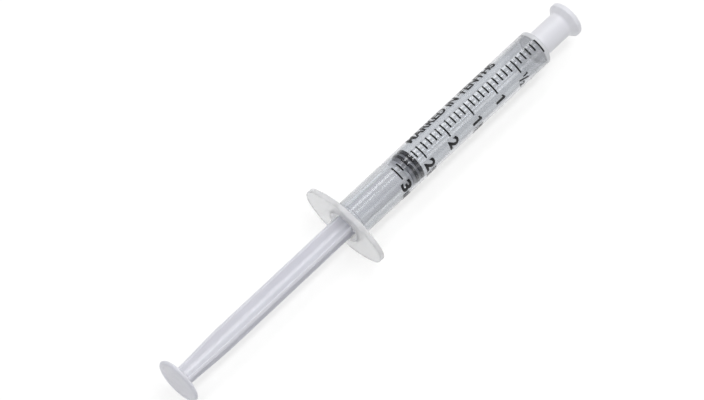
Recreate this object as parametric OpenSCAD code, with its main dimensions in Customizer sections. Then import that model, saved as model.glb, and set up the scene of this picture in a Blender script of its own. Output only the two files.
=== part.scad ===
// Oral syringe, 3 ml: a flanged barrel with an oral nozzle, a cross-ribbed plunger rod,
// a rubber stopper snapped on the rod's head, and a push-on tip cap.
// Millimetres. The syringe lies along X with its nozzle towards +X, and rests on the lower
// flat of its finger flange. The origin is on the axis, at the flange's front face.

/* [Barrel] */
// Bore diameter of the barrel
bore_d = 8.66; // [8.2:0.01:12]
// Wall thickness of the barrel's tube
barrel_wall = 0.62; // [0.45:0.01:1.5]
// Length from the flange's rear face to the front shoulder
barrel_len = 70.3; // [62:0.1:110]
// Thickness of the wall that closes the front of the bore
front_wall = 1.1; // [0.8:0.1:2.5]
// Radius of the round on the barrel's front edge
shoulder_round = 0.35; // [0.1:0.05:0.45]
// How far the retaining bead stands into the bore
bead_height = 0.14; // [0.08:0.01:0.2]
// Radius of the retaining bead's own section
bead_round = 0.35; // [0.25:0.01:0.4]
// Distance from the flange's rear face to the retaining bead
bead_setback = 3.3; // [2.5:0.1:6]

/* [Finger flange] */
// Length of the oval flange, tip to tip
flange_len = 25; // [21:0.1:40]
// Width of the flange across its two rest flats
flange_width = 14.4; // [13.2:0.1:20]
// Thickness of the flange
flange_t = 1.5; // [1:0.1:3]
// Radius of the flange's rounded tips
flange_tip_r = 4.5; // [3:0.1:5.5]
// Depth of the flat cut on each long side of the oval
flange_flat = 0.2; // [0.05:0.05:0.5]

/* [Nozzle] */
// Diameter of the nozzle at the shoulder
nozzle_base_d = 5.0; // [4.2:0.1:6]
// Diameter of the nozzle at its end
nozzle_tip_d = 4.3; // [3.4:0.1:5]
// Length of the nozzle
nozzle_len = 8.6; // [6:0.1:14]
// Diameter of the channel through the nozzle
channel_d = 2.0; // [1:0.1:2.6]

/* [Stopper] */
// Width of the front sealing rib
front_rib = 1.2; // [0.8:0.1:2]
// Width of the groove between the sealing ribs
groove = 0.65; // [0.4:0.05:1.5]
// Width of the rear sealing rib
rear_rib = 0.85; // [0.6:0.05:2]
// Length of the skirt behind the rear sealing rib
skirt = 0.9; // [0.5:0.1:2]
// Depth of the groove and of the skirt below the sealing ribs
rib_relief = 0.38; // [0.2:0.02:0.6]
// Radius of the round on the stopper's front edge
face_round = 0.3; // [0.1:0.05:0.4]
// Radius of the small rounds on the sealing ribs
rib_round = 0.15; // [0.05:0.05:0.2]
// Thickness of the stopper's front face over the rod's head
stopper_face = 1.0; // [0.7:0.1:2]

/* [Plunger rod] */
// Width across two opposite ribs of the rod
rib_span = 6.5; // [5:0.1:7.5]
// Thickness of each rib
rib_t = 1.1; // [0.8:0.1:1.6]
// Radius of the round core where the ribs meet
core_r = 1.15; // [0.9:0.05:1.8]
// Width across two opposite ribs where they meet the thumb disc
rib_span_rear = 5.1; // [4:0.1:6]
// Length over which the ribs narrow towards the thumb disc
rib_taper = 14.5; // [8:0.5:24]
// Gap left between the thumb disc and the flange with the plunger pushed home
thumb_gap = 11.6; // [8:0.1:20]
// Diameter of the thumb disc
thumb_d = 12.5; // [10:0.1:14]
// Thickness of the thumb disc
thumb_t = 1.1; // [0.8:0.1:2]
// Thickness of the plate behind the stopper
plate_t = 0.9; // [0.6:0.1:2]
// Diameter of the snap head inside the stopper
head_d = 4.6; // [3.6:0.1:5.2]
// Thickness of the snap head
head_t = 0.9; // [0.6:0.1:1.2]
// Radius of the round on the snap head's leading edge
head_round = 0.3; // [0.1:0.05:0.5]
// Diameter of the neck behind the snap head
neck_d = 3.0; // [2:0.1:3.2]
// Turn of the ribs about the axis, from the flange's long axis
rib_turn = 45; // [0:1:90]

/* [Tip cap] */
// Outer diameter of the cap's tube
cap_d = 7.0; // [6.6:0.1:9]
// Solid length of the cap beyond its socket
cap_end_t = 3.1; // [2.7:0.1:6]
// Diameter of the grip rim at the closed end
rim_d = 9.8; // [8:0.1:9.9]
// Thickness of the grip rim
rim_t = 1.3; // [0.8:0.1:2.5]
// Radius of the round on the rim's closed end
rim_round = 0.4; // [0.1:0.05:0.6]

/* [Fits and pose] */
// Radial clearance of the stopper's sealing ribs in the bore
seal_fit = 0.02; // [0.01:0.01:0.04]
// Clearance all round the snap head and its neck inside the stopper
head_clear = 0.1; // [0.05:0.01:0.2]
// Radial clearance of the plate behind the stopper inside the bead
plate_clear = 0.3; // [0.2:0.05:0.8]
// Radial clearance of the cap's socket on the nozzle
cap_fit = 0.04; // [0.02:0.01:0.08]
// Gap between the cap and the barrel, at the shoulder and at the nozzle's end
cap_gap = 0.1; // [0.05:0.05:0.5]
// Dose in front of the stopper as stored, in ml
dose_ml = 2.64; // [0:0.01:3]

/* [Hidden] */
$fn = 96;

bore_r = bore_d / 2;
barrel_r = bore_r + barrel_wall;

// Places along the axis
flange_rear_x = -flange_t;
shoulder_x = barrel_len - flange_t;
bore_end_x = shoulder_x - front_wall;
bead_x = flange_rear_x + bead_setback;
mm3_per_ml = 1000;
dose_len = dose_ml * mm3_per_ml / (PI * bore_r * bore_r);
stopper_front_x = bore_end_x - dose_len;
plunger_len = bore_end_x - flange_rear_x + thumb_gap;
thumb_front_x = stopper_front_x - plunger_len;

// Stopper
seal_r = bore_r - seal_fit;
relief_r = seal_r - rib_relief;
stopper_len = front_rib + groove + rear_rib + skirt;
stopper_rear_x = stopper_front_x - stopper_len;
cavity_len = head_t + 2 * head_clear;
cavity_front_x = stopper_front_x - stopper_face;
cavity_rear_x = cavity_front_x - cavity_len;

// Plunger rod
head_front_x = cavity_front_x - head_clear;
plate_front_x = stopper_rear_x - head_clear;
plate_r = bore_r - bead_height - plate_clear;
rib_front_x = plate_front_x - plate_t;
taper_front_x = thumb_front_x + rib_taper;

// Tip cap
nozzle_end_x = shoulder_x + nozzle_len;
socket_end_x = nozzle_end_x + cap_gap;
cap_open_x = shoulder_x + cap_gap;
cap_end_x = socket_end_x + cap_end_t;
rim_rear_x = cap_end_x - rim_t;
flare = (rim_d - cap_d) / 2;

// Pieces run a little way into each other before they are joined
lap = 0.2;
// Cuts run this far past the faces that they open
past = 1;

// Round bar along X, from x1 to x2
module bar(x1, x2, r) {
    translate([x1, 0, 0])
        rotate([0, 90, 0])
            cylinder(h = x2 - x1, r = r);
}

// Tapered round bar along X, from radius r1 at x1 to radius r2 at x2
module taper(x1, x2, r1, r2) {
    translate([x1, 0, 0])
        rotate([0, 90, 0])
            cylinder(h = x2 - x1, r1 = r1, r2 = r2);
}

// Disc along X whose edge is a full round
module round_disc(x1, x2, r) {
    edge = (x2 - x1) / 2;
    translate([x1, 0, 0])
        rotate([0, 90, 0])
            rotate_extrude() {
                square([r - edge, 2 * edge]);
                intersection() {
                    translate([r - edge, edge])
                        circle(r = edge);
                    translate([r - edge - lap, 0])
                        square([edge + lap, 2 * edge]);
                }
            }
}

// Disc along X with rounded edges of the radius given, on one or both faces
module soft_disc(x1, x2, r, round_rear, round_front) {
    t = x2 - x1;
    translate([x1, 0, 0])
        rotate([0, 90, 0])
            rotate_extrude() {
                translate([0, round_rear])
                    square([r, t - round_rear - round_front]);
                square([r - max(round_rear, round_front), t]);
                if (round_rear > 0)
                    intersection() {
                        translate([r - round_rear, round_rear])
                            circle(r = round_rear);
                        square([r, t]);
                    }
                if (round_front > 0)
                    intersection() {
                        translate([r - round_front, t - round_front])
                            circle(r = round_front);
                        square([r, t]);
                    }
            }
}

// Outline of the flange: a four-centre oval with a flat on each long side.
// Its length runs along Y and its width along X here.
module flange_outline() {
    half_w = flange_width / 2 + flange_flat;
    half_l = flange_len / 2;
    tip_y = half_l - flange_tip_r;
    // Radius of the long sides, from their tangency with the tip circles
    side_r = (half_w * half_w + tip_y * tip_y - flange_tip_r * flange_tip_r)
        / (2 * (half_w - flange_tip_r));
    // Where the side arcs meet the tip circles
    meet = side_r / (side_r - flange_tip_r);
    meet_y = tip_y * meet;
    intersection() {
        union() {
            intersection() {
                translate([half_w - side_r, 0])
                    circle(r = side_r);
                translate([side_r - half_w, 0])
                    circle(r = side_r);
                square([2 * half_w + past, 2 * meet_y], center = true);
            }
            for (end = [-1, 1])
                translate([0, end * tip_y])
                    circle(r = flange_tip_r);
        }
        square([flange_width, flange_len + past], center = true);
    }
}

// Barrel: finger flange, tube, retaining bead, closed front and oral nozzle
module barrel() {
    color([0.86, 0.88, 0.90])
        difference() {
            union() {
                difference() {
                    union() {
                        translate([flange_rear_x, 0, 0])
                            rotate([0, 90, 0])
                                linear_extrude(height = flange_t)
                                    flange_outline();
                        soft_disc(flange_rear_x + lap, shoulder_x, barrel_r, 0, shoulder_round);
                    }
                    bar(flange_rear_x - past, bore_end_x, bore_r);
                }
                translate([bead_x, 0, 0])
                    rotate([0, 90, 0])
                        rotate_extrude()
                            translate([bore_r - bead_height + bead_round, 0])
                                circle(r = bead_round);
                taper(shoulder_x - lap, nozzle_end_x, nozzle_base_d / 2, nozzle_tip_d / 2);
            }
            bar(bore_end_x - lap, nozzle_end_x + past, channel_d / 2);
        }
}

// Stopper: two sealing ribs and a skirt, hollow for the rod's snap head
module stopper() {
    front_groove_x = stopper_front_x - front_rib;
    rear_rib_x = front_groove_x - groove;
    skirt_x = rear_rib_x - rear_rib;
    color([0.20, 0.20, 0.22])
        difference() {
            union() {
                bar(stopper_rear_x, stopper_front_x - lap, relief_r);
                soft_disc(front_groove_x, stopper_front_x, seal_r, rib_round, face_round);
                soft_disc(skirt_x, rear_rib_x, seal_r, rib_round, rib_round);
            }
            bar(cavity_rear_x, cavity_front_x, head_d / 2 + head_clear);
            bar(stopper_rear_x - past, cavity_front_x - lap, neck_d / 2 + head_clear);
        }
}

// One pair of opposite ribs as a flat blade along X, narrowed towards the thumb disc
module rib_blade() {
    half = rib_span / 2;
    half_rear = rib_span_rear / 2;
    translate([0, rib_t / 2, 0])
        rotate([90, 0, 0])
            linear_extrude(height = rib_t)
                polygon([
                    [thumb_front_x - lap, -half_rear],
                    [taper_front_x, -half],
                    [rib_front_x + lap, -half],
                    [rib_front_x + lap, half],
                    [taper_front_x, half],
                    [thumb_front_x - lap, half_rear]
                ]);
}

// Plunger rod: thumb disc, four ribs, plate behind the stopper and snap head
module plunger_rod() {
    color([0.82, 0.83, 0.88])
        union() {
            round_disc(thumb_front_x - thumb_t, thumb_front_x, thumb_d / 2);
            for (turn = [0, 90])
                rotate([rib_turn + turn, 0, 0])
                    rib_blade();
            bar(thumb_front_x - lap, rib_front_x + lap, core_r);
            bar(rib_front_x, plate_front_x, plate_r);
            bar(plate_front_x - lap, head_front_x - head_t + lap, neck_d / 2);
            soft_disc(head_front_x - head_t, head_front_x, head_d / 2, 0, head_round);
        }
}

// Tip cap: tube with a tapered socket for the nozzle, closed by a flared grip rim
module tip_cap() {
    color([0.88, 0.89, 0.91])
        difference() {
            union() {
                bar(cap_open_x, cap_end_x - lap, cap_d / 2);
                taper(rim_rear_x - flare, rim_rear_x, cap_d / 2, rim_d / 2);
                soft_disc(rim_rear_x, cap_end_x, rim_d / 2, 0, rim_round);
            }
            taper(shoulder_x, nozzle_end_x, nozzle_base_d / 2 + cap_fit, nozzle_tip_d / 2 + cap_fit);
            bar(nozzle_end_x - lap, socket_end_x, nozzle_tip_d / 2 + cap_fit);
        }
}

barrel();
stopper();
plunger_rod();
tip_cap();
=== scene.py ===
import math

import bmesh
import bpy
from mathutils import Matrix, Vector


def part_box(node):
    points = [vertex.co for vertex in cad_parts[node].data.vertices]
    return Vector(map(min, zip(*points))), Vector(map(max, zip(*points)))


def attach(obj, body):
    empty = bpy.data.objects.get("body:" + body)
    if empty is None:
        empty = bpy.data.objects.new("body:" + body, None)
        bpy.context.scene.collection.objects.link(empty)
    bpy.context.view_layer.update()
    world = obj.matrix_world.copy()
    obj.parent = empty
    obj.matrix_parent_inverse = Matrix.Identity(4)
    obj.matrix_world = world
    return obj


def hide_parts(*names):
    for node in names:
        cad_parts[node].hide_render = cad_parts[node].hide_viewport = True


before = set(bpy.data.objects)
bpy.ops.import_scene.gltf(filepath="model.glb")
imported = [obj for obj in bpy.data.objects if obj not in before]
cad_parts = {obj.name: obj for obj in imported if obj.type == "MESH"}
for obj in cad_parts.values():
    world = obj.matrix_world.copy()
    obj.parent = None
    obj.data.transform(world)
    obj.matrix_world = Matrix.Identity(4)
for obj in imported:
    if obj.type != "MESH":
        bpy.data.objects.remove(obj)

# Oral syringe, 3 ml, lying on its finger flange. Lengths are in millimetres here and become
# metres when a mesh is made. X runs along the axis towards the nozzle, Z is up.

MM = 0.001
TAU = 2 * math.pi
QUARTER = math.pi / 2


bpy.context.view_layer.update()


def node_box(node):
    low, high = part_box(node)
    return low / MM, high / MM


barrel_low, barrel_high = node_box("barrel")
stopper_low, stopper_high = node_box("stopper")
rod_low, rod_high = node_box("plunger_rod")
cap_low, cap_high = node_box("tip_cap")

# Sizes that several pieces or materials share
BARREL_WALL = 0.62
BARREL_R = 4.95
BORE_R = BARREL_R - BARREL_WALL
SEAL_FIT = 0.02
SEAL_R = BORE_R - SEAL_FIT

# ---------------------------------------------------------------- camera
# Degrees that the object's up axis leans from the line of sight, about the syringe's axis
RHO = 15.3
LENS = 188.81
CAMERA_AT = Vector((-307.08, -219.91, 816.81))
LOOK_AT = Vector((5.42, 3.545, 0.0))
ROLL = math.radians(8.715)


def make_camera():
    data = bpy.data.cameras.new("camera")
    data.lens = LENS
    data.sensor_width = 36
    data.clip_start = 0.05
    data.clip_end = 20
    camera = bpy.data.objects.new("camera", data)
    bpy.context.scene.collection.objects.link(camera)
    forward = (LOOK_AT - CAMERA_AT).normalized()
    right = forward.cross(Vector((0, 0, 1))).normalized()
    up = right.cross(forward)
    rolled_right = right * math.cos(ROLL) + up * math.sin(ROLL)
    rolled_up = up * math.cos(ROLL) - right * math.sin(ROLL)
    turn = Matrix((rolled_right, rolled_up, -forward)).transposed()
    camera.matrix_world = Matrix.Translation(CAMERA_AT * MM) @ turn.to_4x4()
    bpy.context.scene.camera = camera


make_camera()

# ---------------------------------------------------------------- profiles
SUPPORT = 0.06       # how far beside a round its supporting point lies
REACH_SHARE = 0.98   # the most of a corner's shorter side that its round may use


def rounded(points, step=12.0):
    """Rounds each corner (a, b, radius) of an open path, in steps of so many degrees,
    and adds a point just beside each round."""
    out = []
    count = len(points)
    for i, (a, b, radius) in enumerate(points):
        here = Vector((a, b))
        if not radius or i in (0, count - 1):
            out.append((a, b))
            continue
        before = Vector(points[i - 1][:2]) - here
        after = Vector(points[i + 1][:2]) - here
        angle = before.angle(after)
        reach = radius / math.tan(angle / 2)
        limit = REACH_SHARE * min(before.length, after.length)
        if reach > limit:
            radius *= limit / reach
            reach = limit
        u, w = before.normalized(), after.normalized()
        start, end = here + u * reach, here + w * reach
        centre = here + (u + w).normalized() * (radius / math.sin(angle / 2))
        sweep = math.pi - angle
        steps = max(2, math.ceil(math.degrees(sweep) / step))
        if before.length - reach > 3 * SUPPORT:
            out.append(tuple(start + u * SUPPORT))
        first = start - centre
        sign = 1 if first.x * (end - centre).y - first.y * (end - centre).x > 0 else -1
        for k in range(steps + 1):
            turned = Matrix.Rotation(sign * sweep * k / steps, 2) @ first
            out.append(tuple(centre + turned))
        if after.length - reach > 3 * SUPPORT:
            out.append(tuple(end + w * SUPPORT))
    return out


SMOOTH_ANGLE = 30
WELD = 1e-8          # in metres


def new_piece(name, points, faces, body, material):
    mesh = bpy.data.meshes.new(name)
    mesh.from_pydata([tuple(c * MM for c in p) for p in points], [], faces)
    mesh.validate()
    work = bmesh.new()
    work.from_mesh(mesh)
    bmesh.ops.remove_doubles(work, verts=work.verts, dist=WELD)
    bmesh.ops.recalc_face_normals(work, faces=work.faces)
    work.to_mesh(mesh)
    work.free()
    mesh.polygons.foreach_set("use_smooth", [True] * len(mesh.polygons))
    mesh.set_sharp_from_angle(angle=math.radians(SMOOTH_ANGLE))
    mesh.materials.append(material)
    piece = bpy.data.objects.new(name, mesh)
    bpy.context.scene.collection.objects.link(piece)
    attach(piece, body)
    return piece


def skin(rings, closed=False):
    """Joins rings of points, each of the same count or a single pole, with faces."""
    points, faces, starts = [], [], []
    for ring in rings:
        starts.append(len(points))
        points.extend(ring)
    pairs = list(zip(range(len(rings) - 1), range(1, len(rings))))
    if closed:
        pairs.append((len(rings) - 1, 0))
    for i, j in pairs:
        a, b = starts[i], starts[j]
        n = max(len(rings[i]), len(rings[j]))
        for k in range(n):
            m = (k + 1) % n
            if len(rings[i]) == 1:
                faces.append((a, b + k, b + m))
            elif len(rings[j]) == 1:
                faces.append((a + k, b, a + m))
            else:
                faces.append((a + k, b + k, b + m, a + m))
    return points, faces


def circle(x, r, angles):
    """A ring round the axis at x, or a single point where it has no radius."""
    if r < 1e-6:
        return [(x, 0.0, 0.0)]
    return [(x, r * math.sin(t), r * math.cos(t)) for t in angles]


def even_angles(count):
    return [TAU * k / count for k in range(count)]


def quarter_angles(steps, first=0):
    """The angles of a quarter round in even steps."""
    return [QUARTER * k / steps for k in range(first, steps + 1)]


# ---------------------------------------------------------------- materials
PLASTIC_IOR = 1.49
RUBBER_IOR = 1.5
FLOW = (0.12, 1, 1)  # moulded clouding is drawn out along the axis


def node_material(name):
    material = bpy.data.materials.new(name)
    material.use_nodes = True
    tree = material.node_tree
    tree.nodes.clear()
    output = tree.nodes.new("ShaderNodeOutputMaterial")
    shader = tree.nodes.new("ShaderNodeBsdfPrincipled")
    tree.links.new(shader.outputs["BSDF"], output.inputs["Surface"])
    return material, tree, shader


def noise(tree, scale, detail, stretch=(1, 1, 1)):
    where = tree.nodes.new("ShaderNodeTexCoord")
    mapping = tree.nodes.new("ShaderNodeMapping")
    mapping.inputs["Scale"].default_value = stretch
    texture = tree.nodes.new("ShaderNodeTexNoise")
    texture.inputs["Scale"].default_value = scale
    texture.inputs["Detail"].default_value = detail
    texture.inputs["Roughness"].default_value = 0.5
    tree.links.new(where.outputs["Object"], mapping.inputs["Vector"])
    tree.links.new(mapping.outputs["Vector"], texture.inputs["Vector"])
    return texture.outputs["Fac"]


def ramp(tree, factor, low, high, start=0.35, end=0.65):
    """A noise's middle range as colours from low to high."""
    node = tree.nodes.new("ShaderNodeValToRGB")
    node.color_ramp.elements[0].position = start
    node.color_ramp.elements[0].color = (*low, 1)
    node.color_ramp.elements[1].position = end
    node.color_ramp.elements[1].color = (*high, 1)
    tree.links.new(factor, node.inputs["Fac"])
    return node.outputs["Color"]


def span(tree, factor, low, high, start=0.3, end=0.7):
    """The range start to end of a value as values from low to high."""
    node = tree.nodes.new("ShaderNodeMapRange")
    node.inputs["From Min"].default_value = start
    node.inputs["From Max"].default_value = end
    node.inputs["To Min"].default_value = low
    node.inputs["To Max"].default_value = high
    tree.links.new(factor, node.inputs["Value"])
    return node.outputs["Result"]


def add_bump(tree, shader, height, strength, distance):
    node = tree.nodes.new("ShaderNodeBump")
    node.inputs["Strength"].default_value = strength
    node.inputs["Distance"].default_value = distance
    tree.links.new(height, node.inputs["Height"])
    tree.links.new(node.outputs["Normal"], shader.inputs["Normal"])


def eased(tree, value, start, end):
    """0 at start and 1 at end of a distance in millimetres, eased at both."""
    node = tree.nodes.new("ShaderNodeMapRange")
    node.interpolation_type = "SMOOTHSTEP"
    node.inputs["From Min"].default_value = start * MM
    node.inputs["From Max"].default_value = end * MM
    tree.links.new(value, node.inputs["Value"])
    return node.outputs["Result"]


def past_x(tree, start, end):
    """0 on start's side and 1 on end's side of a stretch of the axis, in millimetres."""
    where = tree.nodes.new("ShaderNodeTexCoord")
    split = tree.nodes.new("ShaderNodeSeparateXYZ")
    tree.links.new(where.outputs["Object"], split.inputs["Vector"])
    return eased(tree, split.outputs["X"], start, end)


def past_radius(tree, r1, r2):
    """0 nearer the axis than r1 and 1 beyond r2, in millimetres."""
    where = tree.nodes.new("ShaderNodeTexCoord")
    flatten = tree.nodes.new("ShaderNodeMapping")
    flatten.inputs["Scale"].default_value = (0, 1, 1)
    tree.links.new(where.outputs["Object"], flatten.inputs["Vector"])
    reach = tree.nodes.new("ShaderNodeVectorMath")
    reach.operation = "LENGTH"
    tree.links.new(flatten.outputs["Vector"], reach.inputs[0])
    return eased(tree, reach.outputs["Value"], r1, r2)


def larger(tree, one, other):
    node = tree.nodes.new("ShaderNodeMath")
    node.operation = "MAXIMUM"
    tree.links.new(one, node.inputs[0])
    tree.links.new(other, node.inputs[1])
    return node.outputs["Value"]


def mix_colours(tree, factor, low, high):
    node = tree.nodes.new("ShaderNodeMix")
    node.data_type = "RGBA"
    tree.links.new(factor, node.inputs[0])
    for value, socket in ((low, node.inputs[6]), (high, node.inputs[7])):
        if isinstance(value, tuple):
            socket.default_value = (*value, 1)
        else:
            tree.links.new(value, socket)
    return node.outputs[2]


def blend_values(tree, factor, low, high):
    node = tree.nodes.new("ShaderNodeMix")
    node.data_type = "FLOAT"
    tree.links.new(factor, node.inputs[0])
    for value, socket in ((low, node.inputs[2]), (high, node.inputs[3])):
        if isinstance(value, (int, float)):
            socket.default_value = value
        else:
            tree.links.new(value, socket)
    return node.outputs[0]


def moulding(name, low, high, rough):
    """What every moulded plastic starts from: flow clouding along the axis and faint handling haze."""
    material, tree, shader = node_material(name)
    shader.inputs["IOR"].default_value = PLASTIC_IOR
    tint = ramp(tree, noise(tree, 420, 3, FLOW), low, high)
    haze = span(tree, noise(tree, 900, 4), *rough)
    return material, tree, shader, tint, haze


def add_ripples(tree, shader):
    add_bump(tree, shader, noise(tree, 650, 2, FLOW), 0.01, 0.0001)


def cloudy_plastic(name, low, high, rough, transmission, ripples=False):
    """A moulded plastic that looks the same all along."""
    material, tree, shader, tint, haze = moulding(name, low, high, rough)
    tree.links.new(tint, shader.inputs["Base Color"])
    tree.links.new(haze, shader.inputs["Roughness"])
    shader.inputs["Transmission Weight"].default_value = transmission
    if ripples:
        add_ripples(tree, shader)
    return material


# The barrel's regions along X in millimetres, as (start, end) of each change. They were tuned
# with the plunger at rest, are fixed to the barrel, and stay where they are when it moves.
CHAMBER = (16.5, 19.5)
HAZY_FRONT = (59, 66)
FLANGE_SIDE = (0.9, 0.4)
FRONT_SIDE = (67.2, 67.7)
# The radius beyond which the front end is painted darker as shade
SHOULDER_SHADE_R = (4.4, 4.6)
# How clear each region is
TUBE_CLEAR = 0.74
CHAMBER_CLEAR = 0.985
HAZY_CLEAR = 0.8
MILKY_CLEAR = 0.66
FRONT_CLEAR = 0.25
MILKY_ROUGH = 0.25
# What tints each region, several of them painted shade
# Painted shade: the chamber in front of the stopper's place at rest is greyer, standing in for the darker things
# seen through it
CHAMBER_PAINTED_SHADE_TINT = (0.78, 0.795, 0.82)
# Painted shade that darkens the wall where it is seen at a grazing angle, and how much of it
GRAZING_PAINTED_SHADE = (0.2, 0.2, 0.22)
GRAZING_SHADE_SHARE = 0.7
MILKY_TINT = (0.98, 0.98, 0.985)
FRONT_TINT = (1.0, 1.0, 1.0)
# Painted shade: the front end is darker round the shoulder's outer edge
SHOULDER_PAINTED_SHADE = (0.72, 0.73, 0.75)


def barrel_clear(name):
    """Clear plastic that is painted greyer in front of the stopper's place at rest as painted shade, hazy towards
    the front wall, and milky in the thick flange and front wall. Its colour is also darkened as painted shade at
    grazing angles and round the shoulder's outer edge."""
    material, tree, shader, tint, haze = moulding(name, (0.91, 0.93, 0.96), (0.95, 0.965, 0.98), (0.02, 0.05))
    chamber = past_x(tree, *CHAMBER)
    # Painted shade: greyer in the chamber in front of the stopper's place at rest
    tint = mix_colours(tree, chamber, tint, CHAMBER_PAINTED_SHADE_TINT)
    clear = blend_values(tree, chamber, TUBE_CLEAR, CHAMBER_CLEAR)
    clear = blend_values(tree, past_x(tree, *HAZY_FRONT), clear, HAZY_CLEAR)
    # Painted shade: the colour darkens where the wall is seen at a grazing angle, partly for the longer way light
    # has through the wall there and partly painted to keep the edges grey
    facing = tree.nodes.new("ShaderNodeLayerWeight")
    facing.inputs["Blend"].default_value = 0.5
    grazing_shade = span(tree, facing.outputs["Facing"], 0.0, GRAZING_SHADE_SHARE, 0.35, 1.0)
    tint = mix_colours(tree, grazing_shade, tint, GRAZING_PAINTED_SHADE)
    milky = larger(tree, past_x(tree, *FLANGE_SIDE), past_x(tree, *FRONT_SIDE))
    tint = mix_colours(tree, milky, tint, MILKY_TINT)
    clear = blend_values(tree, milky, clear, MILKY_CLEAR)
    front = past_x(tree, *FRONT_SIDE)
    # Painted shade: darker beyond the shoulder's radius, white milky plastic inside it
    front_and_shoulder_shade = mix_colours(tree, past_radius(tree, *SHOULDER_SHADE_R), FRONT_TINT, SHOULDER_PAINTED_SHADE)
    tree.links.new(mix_colours(tree, front, tint, front_and_shoulder_shade), shader.inputs["Base Color"])
    tree.links.new(blend_values(tree, front, clear, FRONT_CLEAR), shader.inputs["Transmission Weight"])
    tree.links.new(blend_values(tree, milky, haze, MILKY_ROUGH), shader.inputs["Roughness"])
    add_ripples(tree, shader)
    return material


RIB_WETTED = (0.16, 0.05)  # how far inside the seal's radius the rubber turns from the painted grey to black


def rubber(name):
    material, tree, shader = node_material(name)
    patches = noise(tree, 1500, 5)
    wetted = ramp(tree, patches, (0.006, 0.006, 0.008), (0.016, 0.016, 0.020))
    # Painted reflection: a lighter grey for the rubber that does not touch the wall
    painted_reflection_grey = ramp(tree, patches, (0.30, 0.30, 0.32), (0.40, 0.40, 0.42))
    # The rubber is black; the sealing ribs pressed on the wall look black, and the rest is painted a lighter
    # grey, a painted reflection of the wall across the air gap
    rib = past_radius(tree, SEAL_R - RIB_WETTED[0], SEAL_R - RIB_WETTED[1])
    tree.links.new(mix_colours(tree, rib, painted_reflection_grey, wetted), shader.inputs["Base Color"])
    tree.links.new(span(tree, patches, 0.28, 0.45), shader.inputs["Roughness"])
    shader.inputs["IOR"].default_value = RUBBER_IOR
    add_bump(tree, shader, noise(tree, 9000, 2), 0.08, 0.00002)
    return material


def printed_ink(name):
    material, tree, shader = node_material(name)
    patches = noise(tree, 5000, 3)
    black = ramp(tree, patches, (0.003, 0.003, 0.004), (0.010, 0.010, 0.012))
    tree.links.new(black, shader.inputs["Base Color"])
    tree.links.new(span(tree, patches, 0.3, 0.42), shader.inputs["Roughness"])
    shader.inputs["Specular IOR Level"].default_value = 0.3
    return material


def table_top(name):
    """A pale light table, just burnt out to white where nothing shades it."""
    material, tree, shader = node_material(name)
    patches = noise(tree, 9, 3)
    pale = ramp(tree, patches, (0.295, 0.295, 0.295), (0.305, 0.305, 0.305))
    tree.links.new(pale, shader.inputs["Base Color"])
    shader.inputs["Roughness"].default_value = 0.8
    shader.inputs["Specular IOR Level"].default_value = 0.0
    shader.inputs["Emission Color"].default_value = (1.0, 1.0, 0.99, 1)
    shader.inputs["Emission Strength"].default_value = 0.7
    return material


barrel_plastic = barrel_clear("barrel_clear")
rod_plastic = cloudy_plastic("rod_clear", (0.81, 0.81, 0.86), (0.85, 0.85, 0.89), (0.30, 0.36), 0.35)
cap_plastic = cloudy_plastic("cap_milky", (0.79, 0.79, 0.825), (0.83, 0.83, 0.86), (0.34, 0.40), 0.2, True)
stopper_rubber = rubber("stopper_rubber")
scale_ink = printed_ink("scale_ink")

# ---------------------------------------------------------------- barrel
BARREL_SIDES = 256
FLANGE_T = 1.5
FRONT_WALL = 1.1
NOZZLE_LEN = 8.6
NOZZLE_BASE_R = 2.5
NOZZLE_TIP_R = 2.15
CHANNEL_R = 1.0
FLANGE_TIP_R = 4.5
FLANGE_FLAT = 0.2
FLANGE_EDGE = 0.28
FLANGE_EDGE_STEPS = 6
FLANGE_MARGIN = 0.25  # from the edge round in to a ring that keeps the face flat
FLANGE_ROOT = 0.6     # from the tube out to the ring where the front face starts
BEAD_SETBACK = 3.3
BEAD_HEIGHT = 0.14
BEAD_HALF = 0.3
BEAD_STEPS = 5        # on each side of its crest

flange_rear_x = barrel_low.x
flange_front_x = flange_rear_x + FLANGE_T
nozzle_end_x = barrel_high.x
shoulder_x = nozzle_end_x - NOZZLE_LEN
bore_end_x = shoulder_x - FRONT_WALL
bead_x = flange_rear_x + BEAD_SETBACK


def flange_radius(angle):
    """Distance from the axis to the oval flange's edge, at an angle from up towards +Y."""
    half_l, flat = barrel_high.y, barrel_high.z
    half_w = flat + FLANGE_FLAT
    tip_y = half_l - FLANGE_TIP_R
    side_r = (half_w ** 2 + tip_y ** 2 - FLANGE_TIP_R ** 2) / (2 * (half_w - FLANGE_TIP_R))
    dy, dz = abs(math.sin(angle)), abs(math.cos(angle))

    def reach(cy, cz, r):
        along = cy * dy + cz * dz
        return along + math.sqrt(max(0.0, along ** 2 - cy ** 2 - cz ** 2 + r ** 2))

    side = reach(0, half_w - side_r, side_r)
    meet_y = tip_y * side_r / (side_r - FLANGE_TIP_R)
    edge = side if side * dy <= meet_y else reach(tip_y, 0, FLANGE_TIP_R)
    return min(edge, flat / dz) if dz > 1e-6 else edge


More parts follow.
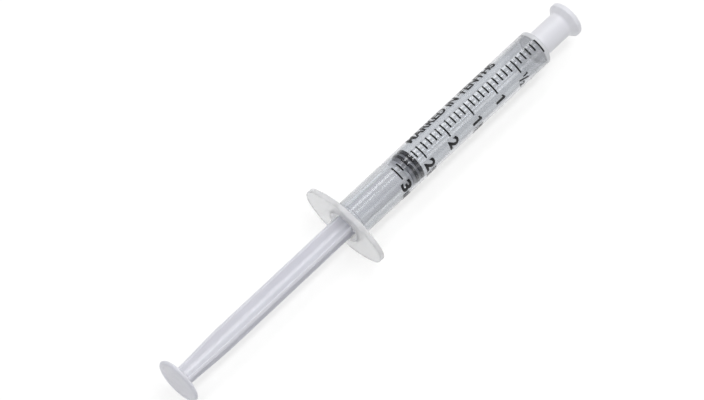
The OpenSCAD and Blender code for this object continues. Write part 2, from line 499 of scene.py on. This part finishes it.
def make_barrel():
    angles = even_angles(BARREL_SIDES)
    rings = []
    edge = [flange_radius(t) for t in angles]

    def oval(x, inset):
        return [(x, (e - inset) * math.sin(t), (e - inset) * math.cos(t)) for e, t in zip(edge, angles)]

    # Bore, from its closed front back to the flange's rear face
    bore = rounded([
        (bore_end_x, CHANNEL_R, 0.0),
        (bore_end_x, BORE_R, 0.45),
        (flange_rear_x, BORE_R, 0.35),
        (flange_rear_x, BARREL_R + 0.4, 0.0),
    ])
    with_bead = []
    for a, b in zip(bore, bore[1:]):
        with_bead.append(a)
        if a[0] > bead_x + BEAD_HALF and b[0] < bead_x - BEAD_HALF:
            for k in range(2 * BEAD_STEPS + 1):
                s = 1 - k / BEAD_STEPS
                rise = 0.5 + 0.5 * math.cos(math.pi * s)
                with_bead.append((bead_x + BEAD_HALF * s, BORE_R - BEAD_HEIGHT * rise))
    with_bead.append(bore[-1])
    for x, r in with_bead:
        rings.append(circle(x, r, angles))
    # Flange, round its edge from the rear face to the front one
    rings.append(oval(flange_rear_x, FLANGE_EDGE + FLANGE_MARGIN))
    for t in quarter_angles(FLANGE_EDGE_STEPS):
        rings.append(oval(flange_rear_x + FLANGE_EDGE * (1 - math.cos(t)), FLANGE_EDGE * (1 - math.sin(t))))
    for t in quarter_angles(FLANGE_EDGE_STEPS):
        rings.append(oval(flange_front_x - FLANGE_EDGE * (1 - math.sin(t)), FLANGE_EDGE * (1 - math.cos(t))))
    rings.append(oval(flange_front_x, FLANGE_EDGE + FLANGE_MARGIN))
    rings.append(circle(flange_front_x, BARREL_R + FLANGE_ROOT, angles))
    outside = rounded([
        (flange_front_x, BARREL_R + 0.55, 0.0),
        (flange_front_x, BARREL_R, 0.4),
        (shoulder_x, BARREL_R, 0.35),
        (shoulder_x, NOZZLE_BASE_R, 0.25),
        (nozzle_end_x, NOZZLE_TIP_R, 0.2),
        (nozzle_end_x, CHANNEL_R, 0.12),
        (bore_end_x, CHANNEL_R, 0.0),
    ])
    for x, r in outside[:-1]:
        rings.append(circle(x, r, angles))
    points, faces = skin(rings, closed=True)
    piece = new_piece("barrel_moulding", points, faces, "barrel_body", barrel_plastic)
    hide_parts("barrel")


make_barrel()

# ---------------------------------------------------------------- stopper
STOPPER_SIDES = 160
RELIEF_R = SEAL_R - 0.38
FRONT_RIB = 1.2
GROOVE = 0.65
REAR_RIB = 0.85
STOPPER_FACE = 1.0
HEAD_CLEAR = 0.1
HEAD_R = 2.3
HEAD_T = 0.9
NECK_R = 1.5


def make_stopper():
    front, rear = stopper_high.x, stopper_low.x
    groove_front = front - FRONT_RIB
    groove_rear = groove_front - GROOVE
    skirt = groove_rear - REAR_RIB
    cavity_front = front - STOPPER_FACE
    cavity_rear = cavity_front - HEAD_T - 2 * HEAD_CLEAR
    cavity_r = HEAD_R + HEAD_CLEAR
    hole_r = NECK_R + HEAD_CLEAR
    profile = rounded([
        (front, 0.0, 0.0),
        (front, SEAL_R, 0.3),
        (groove_front, SEAL_R, 0.15),
        (groove_front, RELIEF_R, 0.12),
        (groove_rear, RELIEF_R, 0.12),
        (groove_rear, SEAL_R, 0.15),
        (skirt, SEAL_R, 0.15),
        (skirt, RELIEF_R, 0.12),
        (rear, RELIEF_R, 0.2),
        (rear, hole_r, 0.12),
        (cavity_rear, hole_r, 0.08),
        (cavity_rear, cavity_r, 0.1),
        (cavity_front, cavity_r, 0.15),
        (cavity_front, 0.0, 0.0),
    ], step=15)
    angles = even_angles(STOPPER_SIDES)
    points, faces = skin([circle(x, r, angles) for x, r in profile])
    piece = new_piece("stopper_rubber", points, faces, "stopper_body", stopper_rubber)
    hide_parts("stopper")


make_stopper()

# ---------------------------------------------------------------- plunger rod
RIB_HALF = 3.25
RIB_HALF_REAR = 2.55
RIB_T = 1.1
RIB_TAPER = 14.5
TAPER_EASE = 0.35     # the share of the taper that eases in and out, the rest being straight
RIB_TURN = 45
VALLEY_R = 0.9
RIB_EDGE = 0.22
THUMB_T = 1.1
PLATE_T = 0.9
PLATE_R = BORE_R - BEAD_HEIGHT - 0.3
ROOT_R = 0.5
PLATE_ROOT_R = 0.3
ROOT_RIB_GROWTH = 0.8  # how fast the ribs reach out and thicken in a root fillet
ROOT_RIB_SPREAD = 1.6
DISH_DEPTH = 0.18
DISH_RING_DEPTH = 0.10
THUMB_FRONT_R = 4.3
THUMB_EDGE_STEPS = 12
ROOT_STEPS = 5
TAPER_STEPS = 14
RIB_STEPS = 19
PLATE_ROOT_STEPS = 4
VALLEY_STEP = 90 / 14  # in degrees


def cross_outline(half, thick, valley, edge):
    """The rod's section: four ribs with rounded edges and wide valleys, as (across, up) points."""
    t = thick / 2
    quarter = rounded([
        (half, 0.0, 0.0),
        (half, t, edge),
        (t, t, valley),
        (t, half, edge),
        (0.0, half, 0.0),
    ], step=VALLEY_STEP)
    out = []
    for turn in range(4):
        for a, b in quarter[:-1]:
            for _ in range(turn):
                a, b = -b, a
            out.append((a, b))
    return out


def make_rod():
    thumb_rear, thumb_front = rod_low.x, rod_low.x + THUMB_T
    thumb_r = rod_high.y
    head_front = rod_high.x
    plate_front = stopper_low.x - HEAD_CLEAR
    rib_front = plate_front - PLATE_T
    taper_front = thumb_front + RIB_TAPER
    turn = math.radians(RIB_TURN)

    def section(x, grow=0.0):
        part = min(1.0, max(0.0, (x - thumb_front) / (taper_front - thumb_front)))
        ease = part * part * (3 - 2 * part) * TAPER_EASE + part * (1 - TAPER_EASE)
        half = RIB_HALF_REAR + (RIB_HALF - RIB_HALF_REAR) * ease
        outline = cross_outline(half + grow * ROOT_RIB_GROWTH, RIB_T + ROOT_RIB_SPREAD * grow, VALLEY_R, RIB_EDGE)
        return [(x, a * math.cos(turn) - b * math.sin(turn), a * math.sin(turn) + b * math.cos(turn))
                for a, b in outline]

    # The polar angles of the rib section, so that round parts share its points
    angles = [math.atan2(y, z) for _, y, z in section(taper_front)]
    rings = []
    edge = THUMB_T / 2
    # Pressing face: a low rim round a shallow dish with one fine ring in it
    dish_x = thumb_rear + DISH_DEPTH
    face = rounded([
        (dish_x, 0.0, 0.0),
        (dish_x, 1.55, 0.05),
        (thumb_rear + DISH_RING_DEPTH, 1.70, 0.05),
        (dish_x, 1.85, 0.05),
        (dish_x, 4.75, 0.2),
        (thumb_rear, 5.05, 0.2),
        (thumb_rear, thumb_r - edge, 0.0),
    ])
    for x, r in face:
        rings.append(circle(x, r, angles))
    for k in range(1, THUMB_EDGE_STEPS + 1):
        t = math.pi * k / THUMB_EDGE_STEPS
        rings.append(circle(thumb_rear + edge * (1 - math.cos(t)), thumb_r - edge + edge * math.sin(t), angles))
    rings.append(circle(thumb_front, THUMB_FRONT_R, angles))
    # Root fillet at the disc, tapered ribs, straight ribs, root fillet at the plate
    for t in quarter_angles(ROOT_STEPS):
        rings.append(section(thumb_front + ROOT_R * (1 - math.cos(t)), ROOT_R * (1 - math.sin(t))))
    for k in range(1, TAPER_STEPS + 1):
        rings.append(section(thumb_front + ROOT_R + (RIB_TAPER - ROOT_R) * k / TAPER_STEPS))
    for k in range(1, RIB_STEPS + 1):
        rings.append(section(taper_front + (rib_front - PLATE_ROOT_R - taper_front) * k / RIB_STEPS))
    for t in quarter_angles(PLATE_ROOT_STEPS, 1):
        rings.append(section(rib_front - PLATE_ROOT_R + PLATE_ROOT_R * math.sin(t),
                             PLATE_ROOT_R * (1 - math.cos(t))))
    front = rounded([
        (rib_front, PLATE_R - PLATE_ROOT_R, 0.0),
        (rib_front, PLATE_R, 0.12),
        (plate_front, PLATE_R, 0.12),
        (plate_front, NECK_R, 0.05),
        (head_front - HEAD_T, NECK_R, 0.05),
        (head_front - HEAD_T, HEAD_R, 0.1),
        (head_front, HEAD_R, 0.3),
        (head_front, 0.0, 0.0),
    ], step=18)
    for x, r in front:
        rings.append(circle(x, r, angles))
    points, faces = skin(rings)
    piece = new_piece("plunger_rod_moulding", points, faces, "rod_body", rod_plastic)
    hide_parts("plunger_rod")


make_rod()

# ---------------------------------------------------------------- tip cap
CAP_SIDES = 160
CAP_R = 3.5
CAP_FIT = 0.04
CAP_GAP = 0.1
RIM_T = 1.3
CAP_DISH = 0.35


def make_cap():
    open_x, end_x = cap_low.x, cap_high.x
    rim_r = cap_high.y
    rim_rear = end_x - RIM_T
    socket_end = nozzle_end_x + CAP_GAP
    mouth_r = NOZZLE_BASE_R + CAP_FIT
    end_r = NOZZLE_TIP_R + CAP_FIT
    profile = rounded([
        (socket_end, 0.0, 0.0),
        (socket_end, end_r, 0.1),
        (open_x, mouth_r, 0.12),
        (open_x, CAP_R, 0.18),
        (rim_rear - (rim_r - CAP_R), CAP_R, 0.8),
        (rim_rear, rim_r, 0.35),
        (end_x, rim_r, 0.4),
        (end_x, 3.4, 0.2),
        (end_x - CAP_DISH, 3.0, 0.2),
        (end_x - CAP_DISH, 0.0, 0.0),
    ])
    angles = even_angles(CAP_SIDES)
    points, faces = skin([circle(x, r, angles) for x, r in profile])
    piece = new_piece("tip_cap_moulding", points, faces, "cap_body", cap_plastic)
    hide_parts("tip_cap")


make_cap()

# ---------------------------------------------------------------- printed scale
INK_BASE = 0.006
INK_T = 0.012
INK_STEP = 0.25
SCALE_ML = 3.0
SCALE_LEN = 50.93
ZERO_SETBACK = 0.16
TICKS_PER_ML = 10
LONG_TICK_EVERY = 5
LINE_W = 0.46
# Angles round the barrel in degrees from the camera's side, at the full line and at the zero line
TICK_START = (31, 21)
LONG_TICK_END = (-16, -26)
SHORT_TICK_END = (1.5, -6)
NUMBER_START = (-25, -33)
HALF_START = (-27, -35)
LEGEND_FOOT = (48.5, 46.5)
# Lettering, in millimetres
DIGIT_H = 3.2
DIGIT_W = 2.65
ONE_W = 1.4
ONE_SHIFT = 0.4
DIGIT_BOLD = 0.045
SMALL_BOLD = 0.03
SLASH_BOLD = 0.02
# Each figure of a half: text, shift round the barrel, lift, width, height, boldness
HALF_AFTER_DIGIT = (
    ("1", 3.1, 1.6, 0.65, 1.6, SMALL_BOLD),
    ("2", 4.3, 0, 1.25, 1.6, SMALL_BOLD),
    ("/", 3.4, 0.1, 1.3, 3.0, SLASH_BOLD),
)
HALF_ALONE = (
    ("1", 0.0, 1.7, 0.7, 1.6, SMALL_BOLD),
    ("/", 0.5, 0.1, 1.4, 3.1, SLASH_BOLD),
    ("2", 1.6, 0, 1.3, 1.6, SMALL_BOLD),
)
UNIT = ("mL", 3.0, -0.3, 3.4, 2.9, SMALL_BOLD)
LEGEND = "MARKED IN TENTHS"
LEGEND_X = 25.2
LEGEND_LEN = 31.0
LEGEND_H = 2.9
LEGEND_BOLD = 0.035

zero_x = bore_end_x - ZERO_SETBACK
full_x = zero_x - SCALE_LEN


def print_angle(x, at_full, at_zero):
    """An angle that drifts evenly along the scale, from its full line to its zero line."""
    part = (x - full_x) / SCALE_LEN
    return math.radians(at_full + (at_zero - at_full) * part - RHO)


def wrap(x, angle, height=0.0):
    """The point at a height above the ink's underside, which lies just off the barrel."""
    r = BARREL_R + INK_BASE + height
    return (x, r * math.sin(angle), r * math.cos(angle))


def ink_line(x, a1, a2, width):
    """A closed thin slab of ink along the barrel's curve."""
    steps = max(2, math.ceil(abs(a2 - a1) * BARREL_R / INK_STEP))
    points, faces = [], []
    for k in range(steps + 1):
        a = a1 + (a2 - a1) * k / steps
        for side, height in ((-1, 0), (1, 0), (1, INK_T), (-1, INK_T)):
            points.append(wrap(x + side * width / 2, a, height))
    for k in range(steps):
        s, e = 4 * k, 4 * k + 4
        for c in range(4):
            d = (c + 1) % 4
            faces.append((s + c, e + c, e + d, s + d))
    last = 4 * steps
    faces.append((3, 2, 1, 0))
    faces.append((last, last + 1, last + 2, last + 3))
    return points, faces


def flat_text(body, bold):
    """A text's filled outline as triangles, with the low and high corners of its box."""
    data = bpy.data.curves.new("lettering", "FONT")
    data.body = body
    data.size = 1
    data.offset = bold
    data.resolution_u = 6
    data.fill_mode = "FRONT"
    holder = bpy.data.objects.new("lettering", data)
    bpy.context.scene.collection.objects.link(holder)
    bpy.context.view_layer.update()
    graph = bpy.context.evaluated_depsgraph_get()
    mesh = bpy.data.meshes.new_from_object(holder.evaluated_get(graph))
    bpy.data.objects.remove(holder)
    bpy.data.curves.remove(data)
    work = bmesh.new()
    work.from_mesh(mesh)
    bpy.data.meshes.remove(mesh)
    bmesh.ops.remove_doubles(work, verts=work.verts, dist=1e-5)
    low = Vector((min(v.co.x for v in work.verts), min(v.co.y for v in work.verts), 0))
    high = Vector((max(v.co.x for v in work.verts), max(v.co.y for v in work.verts), 0))
    return work, low, high


def flat_one():
    """The figure 1 as a stem with a flag, since the built-in font's has none."""
    outline = [(0.4, 0), (1, 0), (1, 1), (0.55, 1), (0.4, 0.94), (0, 0.86), (0, 0.70), (0.4, 0.75)]
    work = bmesh.new()
    face = work.faces.new([work.verts.new((x, y, 0)) for x, y in outline])
    face.normal_update()
    bmesh.ops.triangulate(work, faces=[face])
    return work, Vector((0, 0, 0)), Vector((1, 1, 0))


def ink_text(body, place, width, height, bold):
    """Cuts a text into small cells, wraps it on the barrel and gives it the ink's thickness.
    place(s, t) turns a place on the text, s along it and t up it, into (x, angle)."""
    work, low, high = flat_one() if body == "1" else flat_text(body, bold)
    for v in work.verts:
        v.co.x = (v.co.x - low.x) / (high.x - low.x) * width
        v.co.y = (v.co.y - low.y) / (high.y - low.y) * height
    for axis, size in ((0, width), (1, height)):
        for k in range(1, math.ceil(size / INK_STEP)):
            normal = Vector((1, 0, 0)) if axis == 0 else Vector((0, 1, 0))
            geometry = work.verts[:] + work.edges[:] + work.faces[:]
            bmesh.ops.bisect_plane(work, geom=geometry, plane_co=normal * (k * INK_STEP), plane_no=normal)
    bottom = work.faces[:]
    grown = bmesh.ops.extrude_face_region(work, geom=bottom)
    top = [g for g in grown["geom"] if isinstance(g, bmesh.types.BMVert)]
    raised = set(top)
    spots = {}
    for v in work.verts:
        x, angle = place(v.co.x, v.co.y)
        spots[v] = wrap(x, angle, INK_T if v in raised else 0.0)
    for v, spot in spots.items():
        v.co = spot
    bmesh.ops.recalc_face_normals(work, faces=work.faces)
    work.verts.ensure_lookup_table()
    work.verts.index_update()
    points = [tuple(v.co) for v in work.verts]
    faces = [tuple(v.index for v in f.verts) for f in work.faces]
    work.free()
    return points, faces


def merge(parts):
    points, faces = [], []
    for more, shapes in parts:
        base = len(points)
        points.extend(more)
        faces.extend(tuple(i + base for i in f) for f in shapes)
    return points, faces


def make_ticks():
    parts = []
    count = int(SCALE_ML * TICKS_PER_ML)
    for k in range(count + 1):
        x = zero_x - SCALE_LEN * k / count
        start = print_angle(x, *TICK_START)
        end = print_angle(x, *(SHORT_TICK_END if k % LONG_TICK_EVERY else LONG_TICK_END))
        parts.append(ink_line(x, end, start, LINE_W))
    points, faces = merge(parts)
    new_piece("scale_lines", points, faces, "barrel_body", scale_ink)


def figure(x, angles, text, shift, lift, width, height, bold):
    """Lettering read round the barrel at its line x, with its tops towards the nozzle."""
    start = print_angle(x, *angles)

    def place(s, t):
        return x - DIGIT_H / 2 + lift + t, start - (shift + s) / BARREL_R

    return ink_text(text, place, width, height, bold)


def make_numbers():
    parts = []
    per_ml = SCALE_LEN / SCALE_ML
    for value in (3, 2.5, 2, 1.5, 1):
        x = zero_x - value * per_ml
        whole = str(int(value))
        shift, width = (ONE_SHIFT, ONE_W) if whole == "1" else (0, DIGIT_W)
        parts.append(figure(x, NUMBER_START, whole, shift, 0, width, DIGIT_H, DIGIT_BOLD))
        if value != int(value):
            parts.extend(figure(x, NUMBER_START, *row) for row in HALF_AFTER_DIGIT)
    parts.append(figure(zero_x - SCALE_ML * per_ml, NUMBER_START, *UNIT))
    parts.extend(figure(zero_x - 0.5 * per_ml, HALF_START, *row) for row in HALF_ALONE)
    points, faces = merge(parts)
    new_piece("scale_numbers", points, faces, "barrel_body", scale_ink)


def make_legend():
    """Lettering read along the barrel, above the scale lines."""
    def place(s, t):
        x = LEGEND_X + s
        return x, print_angle(x, *LEGEND_FOOT) + t / BARREL_R

    points, faces = ink_text(LEGEND, place, LEGEND_LEN, LEGEND_H, LEGEND_BOLD)
    new_piece("scale_legend", points, faces, "barrel_body", scale_ink)


make_ticks()
make_numbers()
make_legend()

# ---------------------------------------------------------------- table, light
TABLE_HALF = 3000
LAMP_DISTANCE = 900
LAMP_FORWARD = 0.34  # how far a tilted lamp's direction leans towards the nozzle
LAMP_ACROSS = 0.94
WORLD_COLOUR = (0.30, 0.305, 0.325, 1)


def make_floor():
    half = TABLE_HALF
    z = barrel_low.z
    mesh = bpy.data.meshes.new("table")
    corners = [(-half, -half, z), (half, -half, z), (half, half, z), (-half, half, z)]
    mesh.from_pydata([tuple(c * MM for c in p) for p in corners], [], [(0, 1, 2, 3)])
    mesh.materials.append(table_top("table"))
    floor = bpy.data.objects.new("table", mesh)
    bpy.context.scene.collection.objects.link(floor)


def tilted(degrees):
    """A lamp's direction, leant from the camera's side about the syringe's axis."""
    tilt = math.radians(degrees - RHO)
    return LAMP_FORWARD, math.sin(tilt) * LAMP_ACROSS, math.cos(tilt) * LAMP_ACROSS


def make_softbox(name, direction, width, length, radiance):
    """An area light that faces the object, with its length along X."""
    data = bpy.data.lights.new(name, "AREA")
    data.shape = "RECTANGLE"
    data.size = length * MM
    data.size_y = width * MM
    data.energy = radiance * math.pi * length * width * MM * MM
    light = bpy.data.objects.new(name, data)
    bpy.context.scene.collection.objects.link(light)
    back = Vector(direction).normalized()
    along = Vector((1, 0, 0))
    along = (along - back * along.dot(back)).normalized()
    turn = Matrix((along, back.cross(along), back)).transposed()
    light.matrix_world = Matrix.Translation(back * LAMP_DISTANCE * MM) @ turn.to_4x4()
    return light


make_floor()
make_softbox("key", tilted(41.5), width=220, length=1500, radiance=3.6)
overhead = make_softbox("overhead", (0, -0.02, 1), width=150, length=1500, radiance=8.2)
overhead.visible_glossy = False
make_softbox("fill", tilted(-34), width=240, length=900, radiance=1.2)

world = bpy.data.worlds.new("studio")
bpy.context.scene.world = world
world.use_nodes = True
world.node_tree.nodes["Background"].inputs["Color"].default_value = WORLD_COLOUR
world.node_tree.nodes["Background"].inputs["Strength"].default_value = 1.0
bpy.context.scene.view_settings.view_transform = "Standard"
